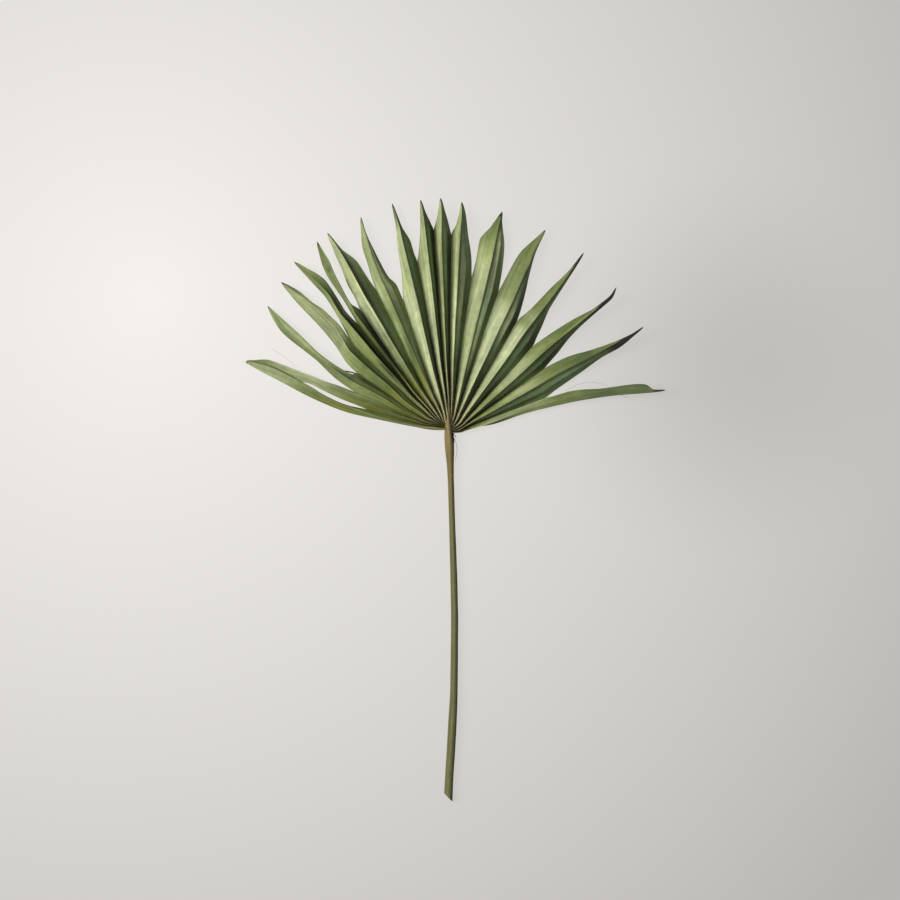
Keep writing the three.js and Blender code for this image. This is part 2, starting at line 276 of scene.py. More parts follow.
class Segment:
    """The grids of a segment's back: rows from the hub to the tip, columns from left to right."""

    def __init__(self, index):
        self.index = index
        self.name = f"segment_{index + 1:02d}"
        self.opening = OPENS_AT.get(index, STAYS_FOLDED)
        rows = cad_rows(self.name)
        self.tip = rows[-1, 0]
        steps = int(round((self.tip - ROOT_RADIUS) / ROW_STEP))
        self.r = np.linspace(ROOT_RADIUS, self.tip, steps + 1)[:, None]
        self.along = self.r / self.tip
        self.across = np.linspace(-1, 1, 2 * HALF_COLUMNS + 1)[None, :]
        self.w = np.abs(self.across)
        self.is_left = self.across < 0

        at = np.maximum(self.r, rows[0, 0])
        left, rib, right, left_z, rib_z, right_z = (
            smooth_curve(rows[:, 0], rows[:, k], at) for k in range(1, 7))
        root = np.minimum(1.0, self.r / rows[0, 0])
        left_z, rib_z, right_z = self.opened(left_z, rib_z, right_z, root)
        left, right = self.closed(left, rib, right)
        if index == TUCKED:
            tuck = smooth_step(*TUCK_FROM, self.r)
            left = left + TUCK * tuck / self.r
            left_z = left_z - TUCK_DEPTH * tuck
        edge = np.where(self.is_left, left, right)
        self.angle = mix(rib, edge, self.w)
        self.half_width = np.abs(edge - rib) * self.r
        self.from_rib = np.sign(self.across) * self.half_width * self.w
        self.edge_z = np.where(self.is_left, left_z, right_z)
        self.rib_z = rib_z

    def opened(self, left_z, rib_z, right_z, root):
        """The heights of edges and rib, level where the fold has opened and at the root."""
        flat = smooth_step(self.opening - OPENING_LENGTH, self.opening, self.along)
        level = (2 * rib_z + left_z + right_z) / 4
        rib_z = mix(rib_z, level, flat)
        left_z = mix(rib_z, mix(left_z, level, flat), root)
        right_z = mix(rib_z, mix(right_z, level, flat), root)
        return left_z, rib_z, right_z

    def closed(self, left, rib, right):
        """The angles of the edges, which meet the neighbours' and run to a point at the tip."""
        point = smooth_curve(*TIP_PROFILE, np.clip((self.tip - self.r) / TIP_POINT, 0, 1))
        left = mix(rib, left + EDGE_CLOSE / self.r, point)
        right = mix(rib, right - EDGE_CLOSE / self.r, point)
        left = left + self.drift(self.index - 1) / self.r
        right = right + self.drift(self.index) / self.r
        return left, right

    def drift(self, valley):
        """How far the valley on the right of a segment bends to the left, in metres."""
        amount, comes, goes = DRIFTS.get(valley, NO_DRIFT)
        r = self.r / MM
        return amount * MM * smooth_step(*comes, r) * (1 - smooth_step(*goes, r))

    def heights(self):
        """The height of each point: the folded section, the rib, the creases and the curl."""
        lit = smooth_curve(*LIT_PROFILE, self.w)
        shaded = mix(self.w, smooth_curve(*SHELF_PROFILE, self.w), SHELVES[self.index])
        profile = np.where(self.is_left, lit, shaded)
        z = self.rib_z + (self.edge_z - self.rib_z) * profile
        return z + self.rib_bead() + self.corrugation() + self.waviness()

    def rib_bead(self):
        """The raised rib: low where the fold stays, and fading where it opens out."""
        taper = 1 - RIB_TAPER * self.along
        bead = RIB_HEIGHT * taper * np.minimum(1.0, self.half_width / FULL_RIB)
        low = 1.0
        if self.opening != STAYS_FOLDED:
            low = smooth_step(self.opening - RIB_FADES, 1.0, self.along)
        bead = bead * (1 - RIB_WORN * low)
        return bead * np.exp(-(self.half_width * self.w / RIB_WIDTH) ** 2)

    def corrugation(self):
        """The lengthwise creases that run beside the rib in each half."""
        side = np.sign(self.across)
        waves = CREASES + 0.35 * math.sin(2.4 * self.index) + 0.25 * side
        phase = 1.7 * self.index + 1.1 * side
        uneven = 0.7 + 0.3 * np.sin(3.1 * self.along + self.index)
        depth = CREASE_DEPTH * self.half_width * uneven
        window = np.sin(np.pi * np.clip(self.w, 0, 1)) ** 0.7
        fine = FINE_DEPTH * np.cos(2 * np.pi * FINE_CREASES * waves * self.across + 2.3 * phase)
        return depth * window * (np.cos(2 * np.pi * waves * self.across + phase) + fine)

    def waviness(self):
        """The slow, uneven curl of a dried leaf: most at the free margins."""
        seed = 3.7 * self.index
        slow = wobble(self.r / SLOW_CURL[0], self.across * SLOW_CURL[1], seed)
        quick = wobble(self.r / QUICK_CURL[0], self.across * QUICK_CURL[1], seed + 40)
        free = smooth_step(*FREE_FROM, self.along)
        curl = SLOW_CURL[2] * slow * (0.3 + free) + QUICK_CURL[2] * quick * free
        return self.half_width * curl * self.w

    def lean(self):
        """How far each point is moved around the hub, in metres."""
        moved = 0.0
        for middle, spread, comes, goes, amount in LEANS:
            here = np.exp(-((np.degrees(self.angle) - middle) / spread) ** 2)
            comes, goes = np.array(comes) * MM, np.array(goes) * MM
            reach = smooth_step(*comes, self.r) * (1 - smooth_step(*goes, self.r))
            moved = moved + amount * MM * here * reach
        return moved

    def place(self):
        """x and y of every point. Near the hub the folds gather beside the stalk's head."""
        near = np.clip(1 - self.r / GATHER_RADIUS, 0, 1)
        outer = (self.index == 0) & self.is_left | (self.index == SEGMENTS - 1) & ~self.is_left
        loose = np.where(outer, 1 - self.w, 1)
        near = near * loose * smooth_step(0, ROOT_TURN, self.r)
        angle = self.angle + loose * self.lean() / self.r
        cosine = np.cos(angle)
        x = HUB[0] + self.r * cosine + near * (GATHER_APART * cosine - GATHER_LEFT) * MM
        y = HUB[1] + self.r * np.sin(angle) - near * (GATHER_DOWN + GATHER_TILT * cosine) * MM
        y = y - ROOT_DIP * np.exp(-(self.r / DIP_RADIUS) ** 2) * np.clip(cosine, 0, 1)
        return x, y

    def underside(self, z):
        """The heights of the front: the blade's thickness below the back, square to its slope."""
        run = np.maximum(np.abs(np.gradient(self.from_rib, axis=1)), SHORTEST_RUN)
        slope = np.gradient(z, axis=1) / run
        thick = BLADE_THICKNESS * np.sqrt(1 + slope**2)
        thick = np.where(self.w == 1, BLADE_THICKNESS, thick)
        lowest = np.minimum(z[:, :1], z[:, -1:]) - BLADE_THICKNESS
        under = np.maximum(z - thick, np.minimum(lowest, z - BLADE_THICKNESS))
        return np.maximum(under, FLOOR_GAP)


# Colours -------------------------------------------------------------------------------

TONES = {
    "light": srgb(184, 206, 154),
    "pale": srgb(178, 187, 140),
    "sage": srgb(158, 167, 118),
    "green": srgb(136, 148, 92),
    "leaf": srgb(112, 125, 70),
    "moss": srgb(92, 106, 62),
    "olive": srgb(122, 126, 60),
    "straw": srgb(172, 170, 118),
    "cream": srgb(190, 189, 150),
    "grey": srgb(121, 139, 96),
    "slate": srgb(100, 118, 78),
    "deep": srgb(78, 92, 54),
    "dark": srgb(54, 64, 34),
    "black": srgb(24, 25, 13),
}
DRIED = srgb(52, 50, 43)
RIB_PALE = srgb(192, 184, 146)

# The tones of each segment's lit half, of its shaded half beside the rib and towards the valley,
# at the places of TONE_STOPS as parts of its length, and how much of it is dried dark at the tip.
# The shaded half's tones are painted shade, with a painted sheen on its shelf.
TONE_STOPS = (0.06, 0.22, 0.38, 0.54, 0.70, 0.84, 0.94)
SEGMENT_TONES = (
    ("olive leaf leaf olive leaf sage sage", "olive olive leaf leaf green sage sage",
     "olive olive leaf leaf green sage sage", 0.01),
    ("olive leaf olive green sage green leaf", "olive olive green green pale sage leaf",
     "olive green sage sage pale sage leaf", 0.01),
    ("olive olive green green leaf leaf green", "olive green leaf deep sage sage green",
     "olive green deep leaf green sage green", 0.01),
    ("olive olive leaf green sage sage sage", "deep moss deep deep sage green moss",
     "deep leaf green leaf green green moss", 0.01),
    ("straw green green green green leaf green", "dark dark black black dark deep green",
     "dark dark deep moss moss moss green", 0.01),
    ("straw olive moss leaf green green leaf", "dark dark black black leaf green green",
     "dark dark black black moss leaf green", 0.012),
    ("straw olive sage pale pale sage sage", "dark moss moss slate deep deep deep",
     "dark deep leaf leaf moss grey grey", 0.015),
    ("straw olive leaf green sage green green", "dark leaf grey grey pale sage moss",
     "dark moss leaf leaf leaf moss moss", 0.015),
    ("straw pale pale pale sage sage moss", "dark dark deep deep slate slate dark",
     "dark black dark deep moss moss dark", 0.02),
    ("straw pale pale pale sage sage green", "dark black dark moss slate slate moss",
     "dark black dark dark dark dark dark", 0.02),
    ("straw sage sage sage sage sage sage", "dark black deep moss grey grey slate",
     "dark black dark dark dark deep deep", 0.02),
    ("straw sage pale pale sage sage green", "dark deep grey sage sage grey slate",
     "dark dark moss deep slate slate slate", 0.02),
    ("straw sage sage sage sage green leaf", "dark deep sage light pale sage dark",
     "dark dark moss deep moss slate slate", 0.02),
    ("straw pale pale pale leaf leaf leaf", "dark dark slate pale grey deep slate",
     "dark dark moss dark deep moss moss", 0.02),
    ("straw pale pale pale leaf leaf leaf", "dark deep slate grey moss deep deep",
     "dark dark slate dark moss moss deep", 0.09),
    ("straw green pale green leaf leaf moss", "dark deep slate slate deep deep dark",
     "dark dark moss dark deep dark dark", 0.16),
    ("olive green sage leaf moss leaf moss", "dark slate slate grey slate moss deep",
     "dark deep moss slate moss moss deep", 0.15),
    ("olive sage sage leaf moss moss moss", "dark deep leaf leaf moss moss moss",
     "dark dark leaf leaf moss moss moss", 0.05),
)

# Marks on single segments: which one, side (-1 lit, 1 shaded), part of the length and of the
# half's width, size along and across, tone and strength. The black marks and the dark one on the
# fifth segment's shaded half are painted shade.
MARKS_AND_PAINTED_SHADE = (
    # Painted shadow where the first segment lies over the second.
    (0, 1, 0.80, 1.00, 0.130, 0.14, "black", 0.90),
    # Painted shade at the third segment's torn flap.
    (2, 1, 0.45, 0.75, 0.030, 0.30, "black", 0.60),
    # Painted shade in the inner part of the fifth segment's lit half.
    (4, -1, 0.36, 0.22, 0.100, 0.28, "black", 0.80),
    # Painted shade on the fifth segment's shaded half.
    (4, 1, 0.74, 0.50, 0.050, 0.45, "dark", 0.50),
    (5, -1, 0.87, 0.40, 0.012, 0.30, "dark", 0.60),
    # Painted shade in the inner part of the sixth segment's lit half.
    (5, -1, 0.40, 0.15, 0.120, 0.35, "black", 0.70),
    (6, -1, 0.42, 0.22, 0.130, 0.25, "leaf", 0.70),
    (7, -1, 0.36, 0.25, 0.060, 0.22, "dark", 0.60),
    (7, -1, 0.47, 0.78, 0.090, 0.28, "light", 0.65),
    (7, -1, 0.56, 0.35, 0.030, 0.40, "leaf", 0.30),
    (7, -1, 0.66, 0.78, 0.060, 0.28, "light", 0.60),
    (13, -1, 0.60, 0.45, 0.022, 0.35, "straw", 0.45),
    (13, -1, 0.67, 0.45, 0.040, 0.50, "leaf", 0.60),
    (14, -1, 0.515, 0.45, 0.030, 0.40, "cream", 0.80),
    (14, -1, 0.590, 0.50, 0.035, 0.60, "leaf", 0.80),
    (15, -1, 0.42, 0.50, 0.040, 0.40, "pale", 0.40),
)

# The segments that crowd together on the left of the stalk's head, where their ribs show only
# from these radii outwards, and those of them whose valleys get only a faint painted shade.
LEFT_FOLDS = 7
CROWDED = (6 * MM, 17 * MM)
OLIVE_FOLDS = 3

# Across a half, from the rib (0) to the edge (1): where each change begins and ends.
SIDES_MEET = (-0.06, 0.03)       # from the lit half to the shaded one
OUTER_SHADE = (0.46, 0.60)
# The painted shade in the crease beside the rib, and how strong it is.
CREASE_SHADE = (0.10, 0.22)
CREASE_SHADE_STRENGTH = 0.6
LIT_VALLEY = (0.80, 1.0)
SHADED_VALLEY = (0.55, 1.0)
MARGIN = (0.84, 1.0)

# Along a segment, from the hub (0) to the tip (1): where each change begins and ends.
RIB_DARKENS = (0.06, 0.36)
VALLEY_SOFTENS = (0.12, 0.30)
VALLEY_ENDS = (0.05, 0.5)
MARGIN_STARTS = (0.45, 0.7)

PAINTED_RIB = (0.2 * MM, 0.65 * MM)        # its least and greatest half width
PAINTED_RIB_PART = 0.35                    # its part of a narrow half
# How dark the painted shade in the valleys is, near the hub and further out, and for the olive
# folds.
VALLEY_SHADE_DEPTHS = (0.92, 0.75)
OLIVE_VALLEY_SHADE = 0.45
MARGIN_STRENGTH = 0.35

# Unevenness: the length of a patch in metres, patches across a half, and strength.
BLOTCHES = (0.022, 1.4, 0.10)
STRIPES = (0.10, 5.0, 0.12)
RAGGED = (0.008, 1.0, 0.012)
WARM = np.array([1.03, 1.0, 0.92])


def tone_along(names, along):
    """The tones named in a string, blended along the leaf."""
    stops = np.array([TONES[name] for name in names.split()])
    along = np.clip(along, TONE_STOPS[0], TONE_STOPS[-1])
    return np.stack([smooth_curve(TONE_STOPS, stops[:, k], along) for k in range(3)], -1)


# Colour marks laid on one segment, some of them painted shade.
def add_marks_and_painted_shade(seg, colour):
    for index, side, place, width, length, spread, tone, strength in MARKS_AND_PAINTED_SHADE:
        if index == seg.index:
            here = (seg.along - place) / length, (seg.w - width) / spread
            amount = strength * np.exp(-here[0] ** 2 - here[1] ** 2) * (seg.across * side > 0)
            colour = mix(colour, TONES[tone], amount[..., None])
    return colour


def fold_tones(seg, along):
    """The lit half's tones, and the shaded half's painted shade and sheen with a dark crease by the
    rib.
    """
    lit, shelf, valley_side_shade, _ = SEGMENT_TONES[seg.index]
    side = smooth_step(*SIDES_MEET, seg.across)[..., None]
    outer = smooth_step(*OUTER_SHADE, seg.w)[..., None]
    # The shaded half: a painted sheen on its shelf, painted shade towards the valley.
    shaded = mix(tone_along(shelf, along), tone_along(valley_side_shade, along), outer)
    # Painted shade in the crease beside the rib.
    painted_crease_shade = CREASE_SHADE_STRENGTH * SHELVES[seg.index] * (1 - smooth_step(*CREASE_SHADE, seg.w))
    shaded = mix(shaded, TONES["dark"], painted_crease_shade[..., None] * (side > 0.5))
    return mix(tone_along(lit, along), shaded, side)


def add_blotches(seg, colour):
    """Soft blotches, the lighter ones warmer, and lengthwise stripes."""
    blotch = wobble(seg.r / BLOTCHES[0], seg.across * BLOTCHES[1], 9.1 * seg.index + 5)
    stripe = wobble(seg.r / STRIPES[0], seg.across * STRIPES[1], 5.3 * seg.index + 71)
    colour = colour * (1 + BLOTCHES[2] * blotch + STRIPES[2] * stripe)[..., None]
    return mix(colour, colour * WARM, np.clip(blotch, 0, 1)[..., None])


def add_rib(seg, along, colour):
    """The rib: pale in the inner part of the fan."""
    near = 1 - smooth_step(*RIB_DARKENS, along)
    if seg.index < LEFT_FOLDS:
        near = near * smooth_step(*CROWDED, seg.r)
    width = np.clip(PAINTED_RIB_PART * seg.half_width, *PAINTED_RIB)
    rib = np.exp(-(seg.half_width * seg.w / width) ** 2) * (0.08 + 0.8 * near)
    return mix(colour, RIB_PALE, rib[..., None])


def add_valley_shade(seg, along, colour):
    """Painted shade in the valleys between the segments, dark in the inner part of the fan."""
    lit, shaded = smooth_step(*LIT_VALLEY, seg.w), smooth_step(*SHADED_VALLEY, seg.w)
    valley = np.where(seg.is_left, lit, shaded) * (1 - smooth_step(*VALLEY_ENDS, along))
    depth = mix(*VALLEY_SHADE_DEPTHS, smooth_step(*VALLEY_SOFTENS, along))
    if seg.index < OLIVE_FOLDS:
        depth = depth * OLIVE_VALLEY_SHADE
    return mix(colour, TONES["black"], (depth * valley)[..., None])


def dry_edges(seg, along, colour):
    """Dried margins in the outer half, and a ragged, dried tip."""
    margin = MARGIN_STRENGTH * smooth_step(*MARGIN, seg.w) * smooth_step(*MARGIN_STARTS, along)
    rough = wobble(seg.r / RAGGED[0], seg.across * RAGGED[1], 7.0 * seg.index)
    ragged = along + RAGGED[2] * rough
    dried = SEGMENT_TONES[seg.index][3] * np.where(seg.is_left, 0.85, 1.3)
    tip = smooth_step(1 - 1.15 * dried, 1 - 0.8 * dried, ragged)
    return mix(colour, DRIED, np.maximum(tip, margin)[..., None])


def blade_colours(seg):
    """The colour of each point before the fine streaks of the material."""
    along = np.broadcast_to(seg.along, np.broadcast_shapes(seg.r.shape, seg.across.shape))
    colour = add_blotches(seg, add_marks_and_painted_shade(seg, fold_tones(seg, along)))
    colour = add_valley_shade(seg, along, add_rib(seg, along, colour))
    return dry_edges(seg, along, colour)


# Node helpers ---------------------------------------------------------------------------

def new_material(name):
    material = bpy.data.materials.new(name)
    material.use_nodes = True
    tree = material.node_tree
    return material, tree, tree.nodes["Principled BSDF"]


def attribute(tree, name, output):
    made = tree.nodes.new("ShaderNodeAttribute")
    made.attribute_name = name
    return made.outputs[output]


def scaled_noise(tree, vector, scale, detail, roughness):
    """A noise texture with its own scale along each direction of a vector."""
    mapping = tree.nodes.new("ShaderNodeMapping")
    mapping.inputs["Scale"].default_value = scale
    tree.links.new(vector, mapping.inputs["Vector"])
    texture = tree.nodes.new("ShaderNodeTexNoise")
    texture.inputs["Scale"].default_value = 1.0
    texture.inputs["Detail"].default_value = detail
    texture.inputs["Roughness"].default_value = roughness
    tree.links.new(mapping.outputs["Vector"], texture.inputs["Vector"])
    return texture.outputs["Fac"]


def remap(tree, value, low, high, to_low, to_high):
    made = tree.nodes.new("ShaderNodeMapRange")
    limits = {"From Min": low, "From Max": high, "To Min": to_low, "To Max": to_high}
    for name, number in limits.items():
        made.inputs[name].default_value = number
    tree.links.new(value, made.inputs["Value"])
    return made.outputs["Result"]


def spread_noise(tree, value, low, high):
    """Noise, which lies mostly between 0.3 and 0.7, spread from low to high."""
    return remap(tree, value, 0.3, 0.7, low, high)


def combine(tree, operation, a, b):
    made = tree.nodes.new("ShaderNodeMath")
    made.operation = operation
    tree.links.new(a, made.inputs[0])
    tree.links.new(b, made.inputs[1])
    return made.outputs["Value"]


def brighten(tree, colour, value):
    """Multiplies a colour by a grey value."""
    made = tree.nodes.new("ShaderNodeVectorMath")
    made.operation = "SCALE"
    tree.links.new(colour, made.inputs[0])
    tree.links.new(value, made.inputs["Scale"])
    return made.outputs["Vector"]


def bump(tree, shader, height, strength, distance):
    made = tree.nodes.new("ShaderNodeBump")
    made.inputs["Strength"].default_value = strength
    made.inputs["Distance"].default_value = distance
    tree.links.new(height, made.inputs["Height"])
    tree.links.new(made.outputs["Normal"], shader.inputs["Normal"])


# Noise on the grain of a piece: its scale along, across and from piece to piece, the detail and
# the roughness of the noise.
VEINS = ((9.0, 620.0, 31.0), 3.0, 0.6)
STREAKS = ((16.0, 230.0, 17.0), 4.0, 0.6)
MOTTLE = ((130.0, 200.0, 11.0), 4.0, 0.6)
STALK_FIBRES = ((22.0, 900.0, 5.0), 4.0, 0.6)
STALK_MARKS = ((90.0, 300.0, 5.0), 5.0, 0.65)


def blade_material():
    """Dried leaf: colour by point, with lengthwise veins, pale streaks and a satin surface."""
    material, tree, shader = new_material("blade")
    tone = attribute(tree, "tone", "Color")
    grain = attribute(tree, "grain", "Vector")
    veins = scaled_noise(tree, grain, *VEINS)
    streaks = scaled_noise(tree, grain, *STREAKS)
    mottle = scaled_noise(tree, grain, *MOTTLE)
    shade = combine(tree, "MULTIPLY", spread_noise(tree, veins, 0.80, 1.20),
                    spread_noise(tree, streaks, 0.78, 1.22))
    shade = combine(tree, "MULTIPLY", shade, spread_noise(tree, mottle, 0.85, 1.15))
    tree.links.new(brighten(tree, tone, shade), shader.inputs["Base Color"])
    tree.links.new(spread_noise(tree, streaks, 0.48, 0.64), shader.inputs["Roughness"])
    shader.inputs["Specular IOR Level"].default_value = 0.35
    bump(tree, shader, combine(tree, "ADD", veins, streaks), 0.6, 0.25 * MM)
    return material


def stalk_material():
    """Petiole: colour by point, with lengthwise fibres and a dull surface."""
    material, tree, shader = new_material("stalk")
    tone = attribute(tree, "tone", "Color")
    grain = attribute(tree, "grain", "Vector")
    fibres = scaled_noise(tree, grain, *STALK_FIBRES)
    marks = scaled_noise(tree, grain, *STALK_MARKS)
    shade = combine(tree, "MULTIPLY", spread_noise(tree, fibres, 0.80, 1.18),
                    spread_noise(tree, marks, 0.84, 1.14))
    tree.links.new(brighten(tree, tone, shade), shader.inputs["Base Color"])
    tree.links.new(spread_noise(tree, marks, 0.55, 0.75), shader.inputs["Roughness"])
    shader.inputs["Specular IOR Level"].default_value = 0.18
    bump(tree, shader, fibres, 0.5, 0.2 * MM)
    return material


# Segments -------------------------------------------------------------------------------

def make_segment(index, material):
    seg = Segment(index)
    x, y = seg.place()
    z = seg.heights()
    under = seg.underside(z)
    z = np.maximum(z, under + THINNEST)
    top = np.stack([x, y, z], -1).reshape(-1, 3)
    bottom = np.stack([x, y, under], -1).reshape(-1, 3)
    points = np.concatenate([top, bottom])
    piece = mesh_object(f"leaf_{seg.name}", points, shell_faces(*x.shape))
    grain = np.stack(np.broadcast_arrays(seg.r, seg.from_rib, 0.1 * index), -1).reshape(-1, 3)
    colours = blade_colours(seg).reshape(-1, 3)
    paint(piece, np.concatenate([grain, grain]), np.concatenate([colours, colours]))
    attach(piece, material, seg.name)


# Stalk ------------------------------------------------------------------------------------

STALK_ROWS = 420
STALK_SIDES = 40

CUT_SLOPE = 1.03                 # the cut runs across at about 45 degrees
CUT_LENGTH = 0.03                # the slant dies away over this length, in metres
CUT_ROW = 4.4 * MM               # from the lowest point of the cut to its middle
CUT_SHIFT = -0.8 * MM            # from the first station to the middle of the cut, in x
CUT_HOLLOW = 0.3 * MM            # how far the middle of the cut face is pushed in
RING_CORNERS = 9                 # a whole station of the solid has at least this many points

# Over the fan's base the stalk's rib narrows to half and sinks between the folds.
NARROWS_FROM = (0.078, 0.095)
NARROWS_TO = 0.5
SINKS_FROM = (0.084, 0.098)
SINKS_BY = 3.5 * MM

GROOVES = 11
GROOVES_FROM = (-0.30, -0.1)
GROOVE_DEPTH = 0.012             # as a part of the stalk's width
ROUGH_LENGTH = 0.02              # from bump to bump, in metres
ROUGH_WIDTH = 0.018              # as parts of the stalk's width and height
ROUGH_HEIGHT = 0.01
GRAIN_RADIUS = 4 * MM            # turns angles around the stalk into lengths for the grain

# The tones from the foot to the head and their places in y, and the painted light and shade
# across the stalk, lit on the left and in shade on the right, from its left edge (-1) to its
# right edge (1).
STALK_HEAD = srgb(149, 131, 87)
STALK_BROWN = srgb(131, 114, 71)
STALK_OLIVE = srgb(115, 115, 75)
STALK_CUT = srgb(150, 140, 108)
STALK_TONES = np.array([STALK_OLIVE, STALK_OLIVE, STALK_BROWN, STALK_HEAD, STALK_HEAD])
STALK_PLACES = (-0.32, -0.1, 0.045, 0.065, 0.11)
STALK_PAINTED_SHADING = ([-1.0, -0.6, -0.15, 0.25, 0.6, 0.82, 1.0],
               [0.85, 0.76, 1.0, 1.06, 0.80, 0.40, 0.22])

# A dark bulge on the right of the stalk's head, and a knot on its left.
HEAD_BULGE_TONE = srgb(40, 30, 14)
HEAD_BULGE_PLACE = 0.0700
HEAD_BULGE_LENGTH = 8 * MM
HEAD_BULGE_WIDTH = 1.6 * MM
KNOT_TONE = srgb(84, 62, 36)
KNOT_PLACE = (-0.0100, 0.0765)
KNOT_RADIUS = 1.3 * MM
KNOT_STRENGTH = 0.85


def cad_stalk():
    """The stalk's stations: y, middle x, width, top and bottom, without the slanted cut."""
    points = np.array([v.co[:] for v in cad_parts["stalk"].data.vertices])
    rows = []
    for here in groups_of(points[:, 1], STATION_GAP):
        ring = points[here]
        if len(np.unique(np.round(ring, 5), axis=0)) >= RING_CORNERS:
            low, high = ring.min(axis=0), ring.max(axis=0)
            rows.append([high[1], (low[0] + high[0]) / 2, high[0] - low[0], high[2], low[2]])
    return np.array(rows)


def stalk_stations():
    """The solid's stations, with one more in the middle of the cut."""
    rows = cad_stalk()
    cut_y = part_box("stalk")[0].y + CUT_ROW
    first = rows[0] + (cut_y - rows[0, 0], CUT_SHIFT, 0, 0, 0)
    return np.vstack([first, rows]) if cut_y < rows[0, 0] - 1 * MM else rows


def stalk_section(turn):
    """The stalk's section as parts of its width and height: flat below, a soft keel above."""
    x = np.cos(turn)
    x = 0.5 * np.sign(x) * np.abs(x) ** 0.85
    z = 0.5 + 0.5 * np.sin(turn)
    z = np.where(z < 0.5, 0.5 - 0.5 * np.abs(1 - 2 * z) ** 0.45, z)
    keel = 0.06 * np.exp(-((x - 0.06) / 0.14) ** 2) * (z > 0.5)
    return x, 0.95 * z + keel


def stalk_shape(rows, y, turn, head_bulge):
    """x, the y shift of the slanted cut, and z of every point of the stalk."""
    mid, width, top, bottom = (smooth_curve(rows[:, 0], rows[:, k], y) for k in range(1, 5))
    width = width * mix(1.0, NARROWS_TO, smooth_step(*NARROWS_FROM, y))
    top = top - SINKS_BY * smooth_step(*SINKS_FROM, y)
    across, up = stalk_section(turn)
    rough = wobble(y / ROUGH_LENGTH, np.cos(turn) * 2, 12.0)
    groove = np.cos(GROOVES * turn) * smooth_step(*GROOVES_FROM, y)
    x = mid + width * across * (1 + ROUGH_WIDTH * rough + GROOVE_DEPTH * groove)
    x = x + HEAD_BULGE_WIDTH * head_bulge * np.maximum(np.cos(turn), 0) * (1 + 0.5 * rough)
    z = bottom + (top - bottom) * up * (1 + ROUGH_HEIGHT * rough)
    slant = smooth_step(CUT_LENGTH, 0.0, y - rows[0, 0]) * (mid - x) * CUT_SLOPE
    ends = [[mid[0, 0], rows[0, 0] + CUT_HOLLOW, z[0].mean()],
            [mid[-1, 0], rows[-1, 0], z[-1].mean()]]
    return x, slant, z, ends


def stalk_faces(shape):
    """The stalk's side and, around one more point each, its cut face and its upper point."""
    count = shape[0] * shape[1]
    side = np.arange(STALK_SIDES)
    following = (side + 1) % STALK_SIDES
    cut = np.stack([np.full_like(side, count), following, side], 1).tolist()
    last = count - STALK_SIDES
    point = np.stack([np.full_like(side, count + 1), last + side, last + following], 1).tolist()
    return tube_faces(*shape) + cut + point


def stalk_colours(x, y, turn, head_bulge):
    """The stalk's colour at each point: along it, painted light and shade across it, and the marks
    at its head.
    """
    colour = np.stack([smooth_curve(STALK_PLACES, STALK_TONES[:, k], y) for k in range(3)], -1)
    colour = colour * smooth_curve(*STALK_PAINTED_SHADING, np.cos(turn))[..., None]
    edge = head_bulge * smooth_step(0.1, 0.6, np.cos(turn))
    colour = mix(colour, HEAD_BULGE_TONE, edge[..., None])
    away = np.hypot(x - KNOT_PLACE[0], y - KNOT_PLACE[1]) / KNOT_RADIUS
    knot = KNOT_STRENGTH * np.exp(-away ** 4) * (np.sin(turn) > 0)
    return mix(colour, KNOT_TONE, knot[..., None])


def make_stalk(material):
    rows = stalk_stations()
    y = np.linspace(rows[0, 0], rows[-1, 0], STALK_ROWS)[:, None]
    turn = np.linspace(-math.pi / 2, 1.5 * math.pi, STALK_SIDES, endpoint=False)[None, :]
    head_bulge = np.exp(-((y - HEAD_BULGE_PLACE) / HEAD_BULGE_LENGTH) ** 2)
    x, slant, z, ends = stalk_shape(rows, y, turn, head_bulge)
    points = np.stack(np.broadcast_arrays(x, y + slant, z), -1).reshape(-1, 3)
    piece = mesh_object("leaf_stalk", np.vstack([points, ends]), stalk_faces(x.shape))

    grain = np.stack(np.broadcast_arrays(y, turn * GRAIN_RADIUS, 0.0), -1).reshape(-1, 3)
    grain = np.vstack([grain, [rows[0, 0], 0, 0.5], [rows[-1, 0], 0, 0]])
    colour = stalk_colours(*np.broadcast_arrays(x, y, turn, head_bulge)).reshape(-1, 3)
    colour = np.vstack([colour, STALK_CUT, STALK_HEAD])
    paint(piece, grain, colour)
    attach(piece, material, "stalk")


# Fibres -----------------------------------------------------------------------------------

FIBRE_SIDES = 5
FIBRE_STEPS = 24
FIBRE_DRY = srgb(150, 142, 120)
FIBRE_DARK = srgb(60, 50, 36)
# The torn strip's tone is painted shade.
SHADED_STRIP_TONE = srgb(52, 62, 36)

# Loose threads and one torn strip: start, a point that pulls the curve, and end, in metres, then
# the radius in mm and the colour.
FIBRES = (
    ((-0.1965, 0.1628, 0.006), (-0.1850, 0.1548, 0.007), (-0.1672, 0.1420, 0.005),
     0.11, FIBRE_DRY),
    ((0.1190, 0.1170, 0.003), (0.1436, 0.1345, 0.006), (0.1690, 0.1205, 0.003),
     0.13, FIBRE_DRY),
    ((0.1765, 0.1150, 0.003), (0.1810, 0.1105, 0.003), (0.1895, 0.1095, 0.002),
     0.12, FIBRE_DRY),
    ((-0.0011, 0.0667, 0.005), (0.0052, 0.0560, 0.006), (-0.0005, 0.0413, 0.004),
     0.20, FIBRE_DARK),
    ((-0.0027, 0.0721, 0.006), (0.0008, 0.0705, 0.006), (0.0009, 0.0662, 0.005),
     0.35, FIBRE_DARK),
    ((-0.0027, 0.0678, 0.005), (-0.0004, 0.0660, 0.005), (-0.0009, 0.0613, 0.004),
     0.35, FIBRE_DARK),
    # The torn strip, dark with painted shade.
    ((-0.1030, 0.1345, 0.0017), (-0.1120, 0.1385, 0.0048), (-0.1220, 0.1392, 0.0060),
     0.75, SHADED_STRIP_TONE),
)


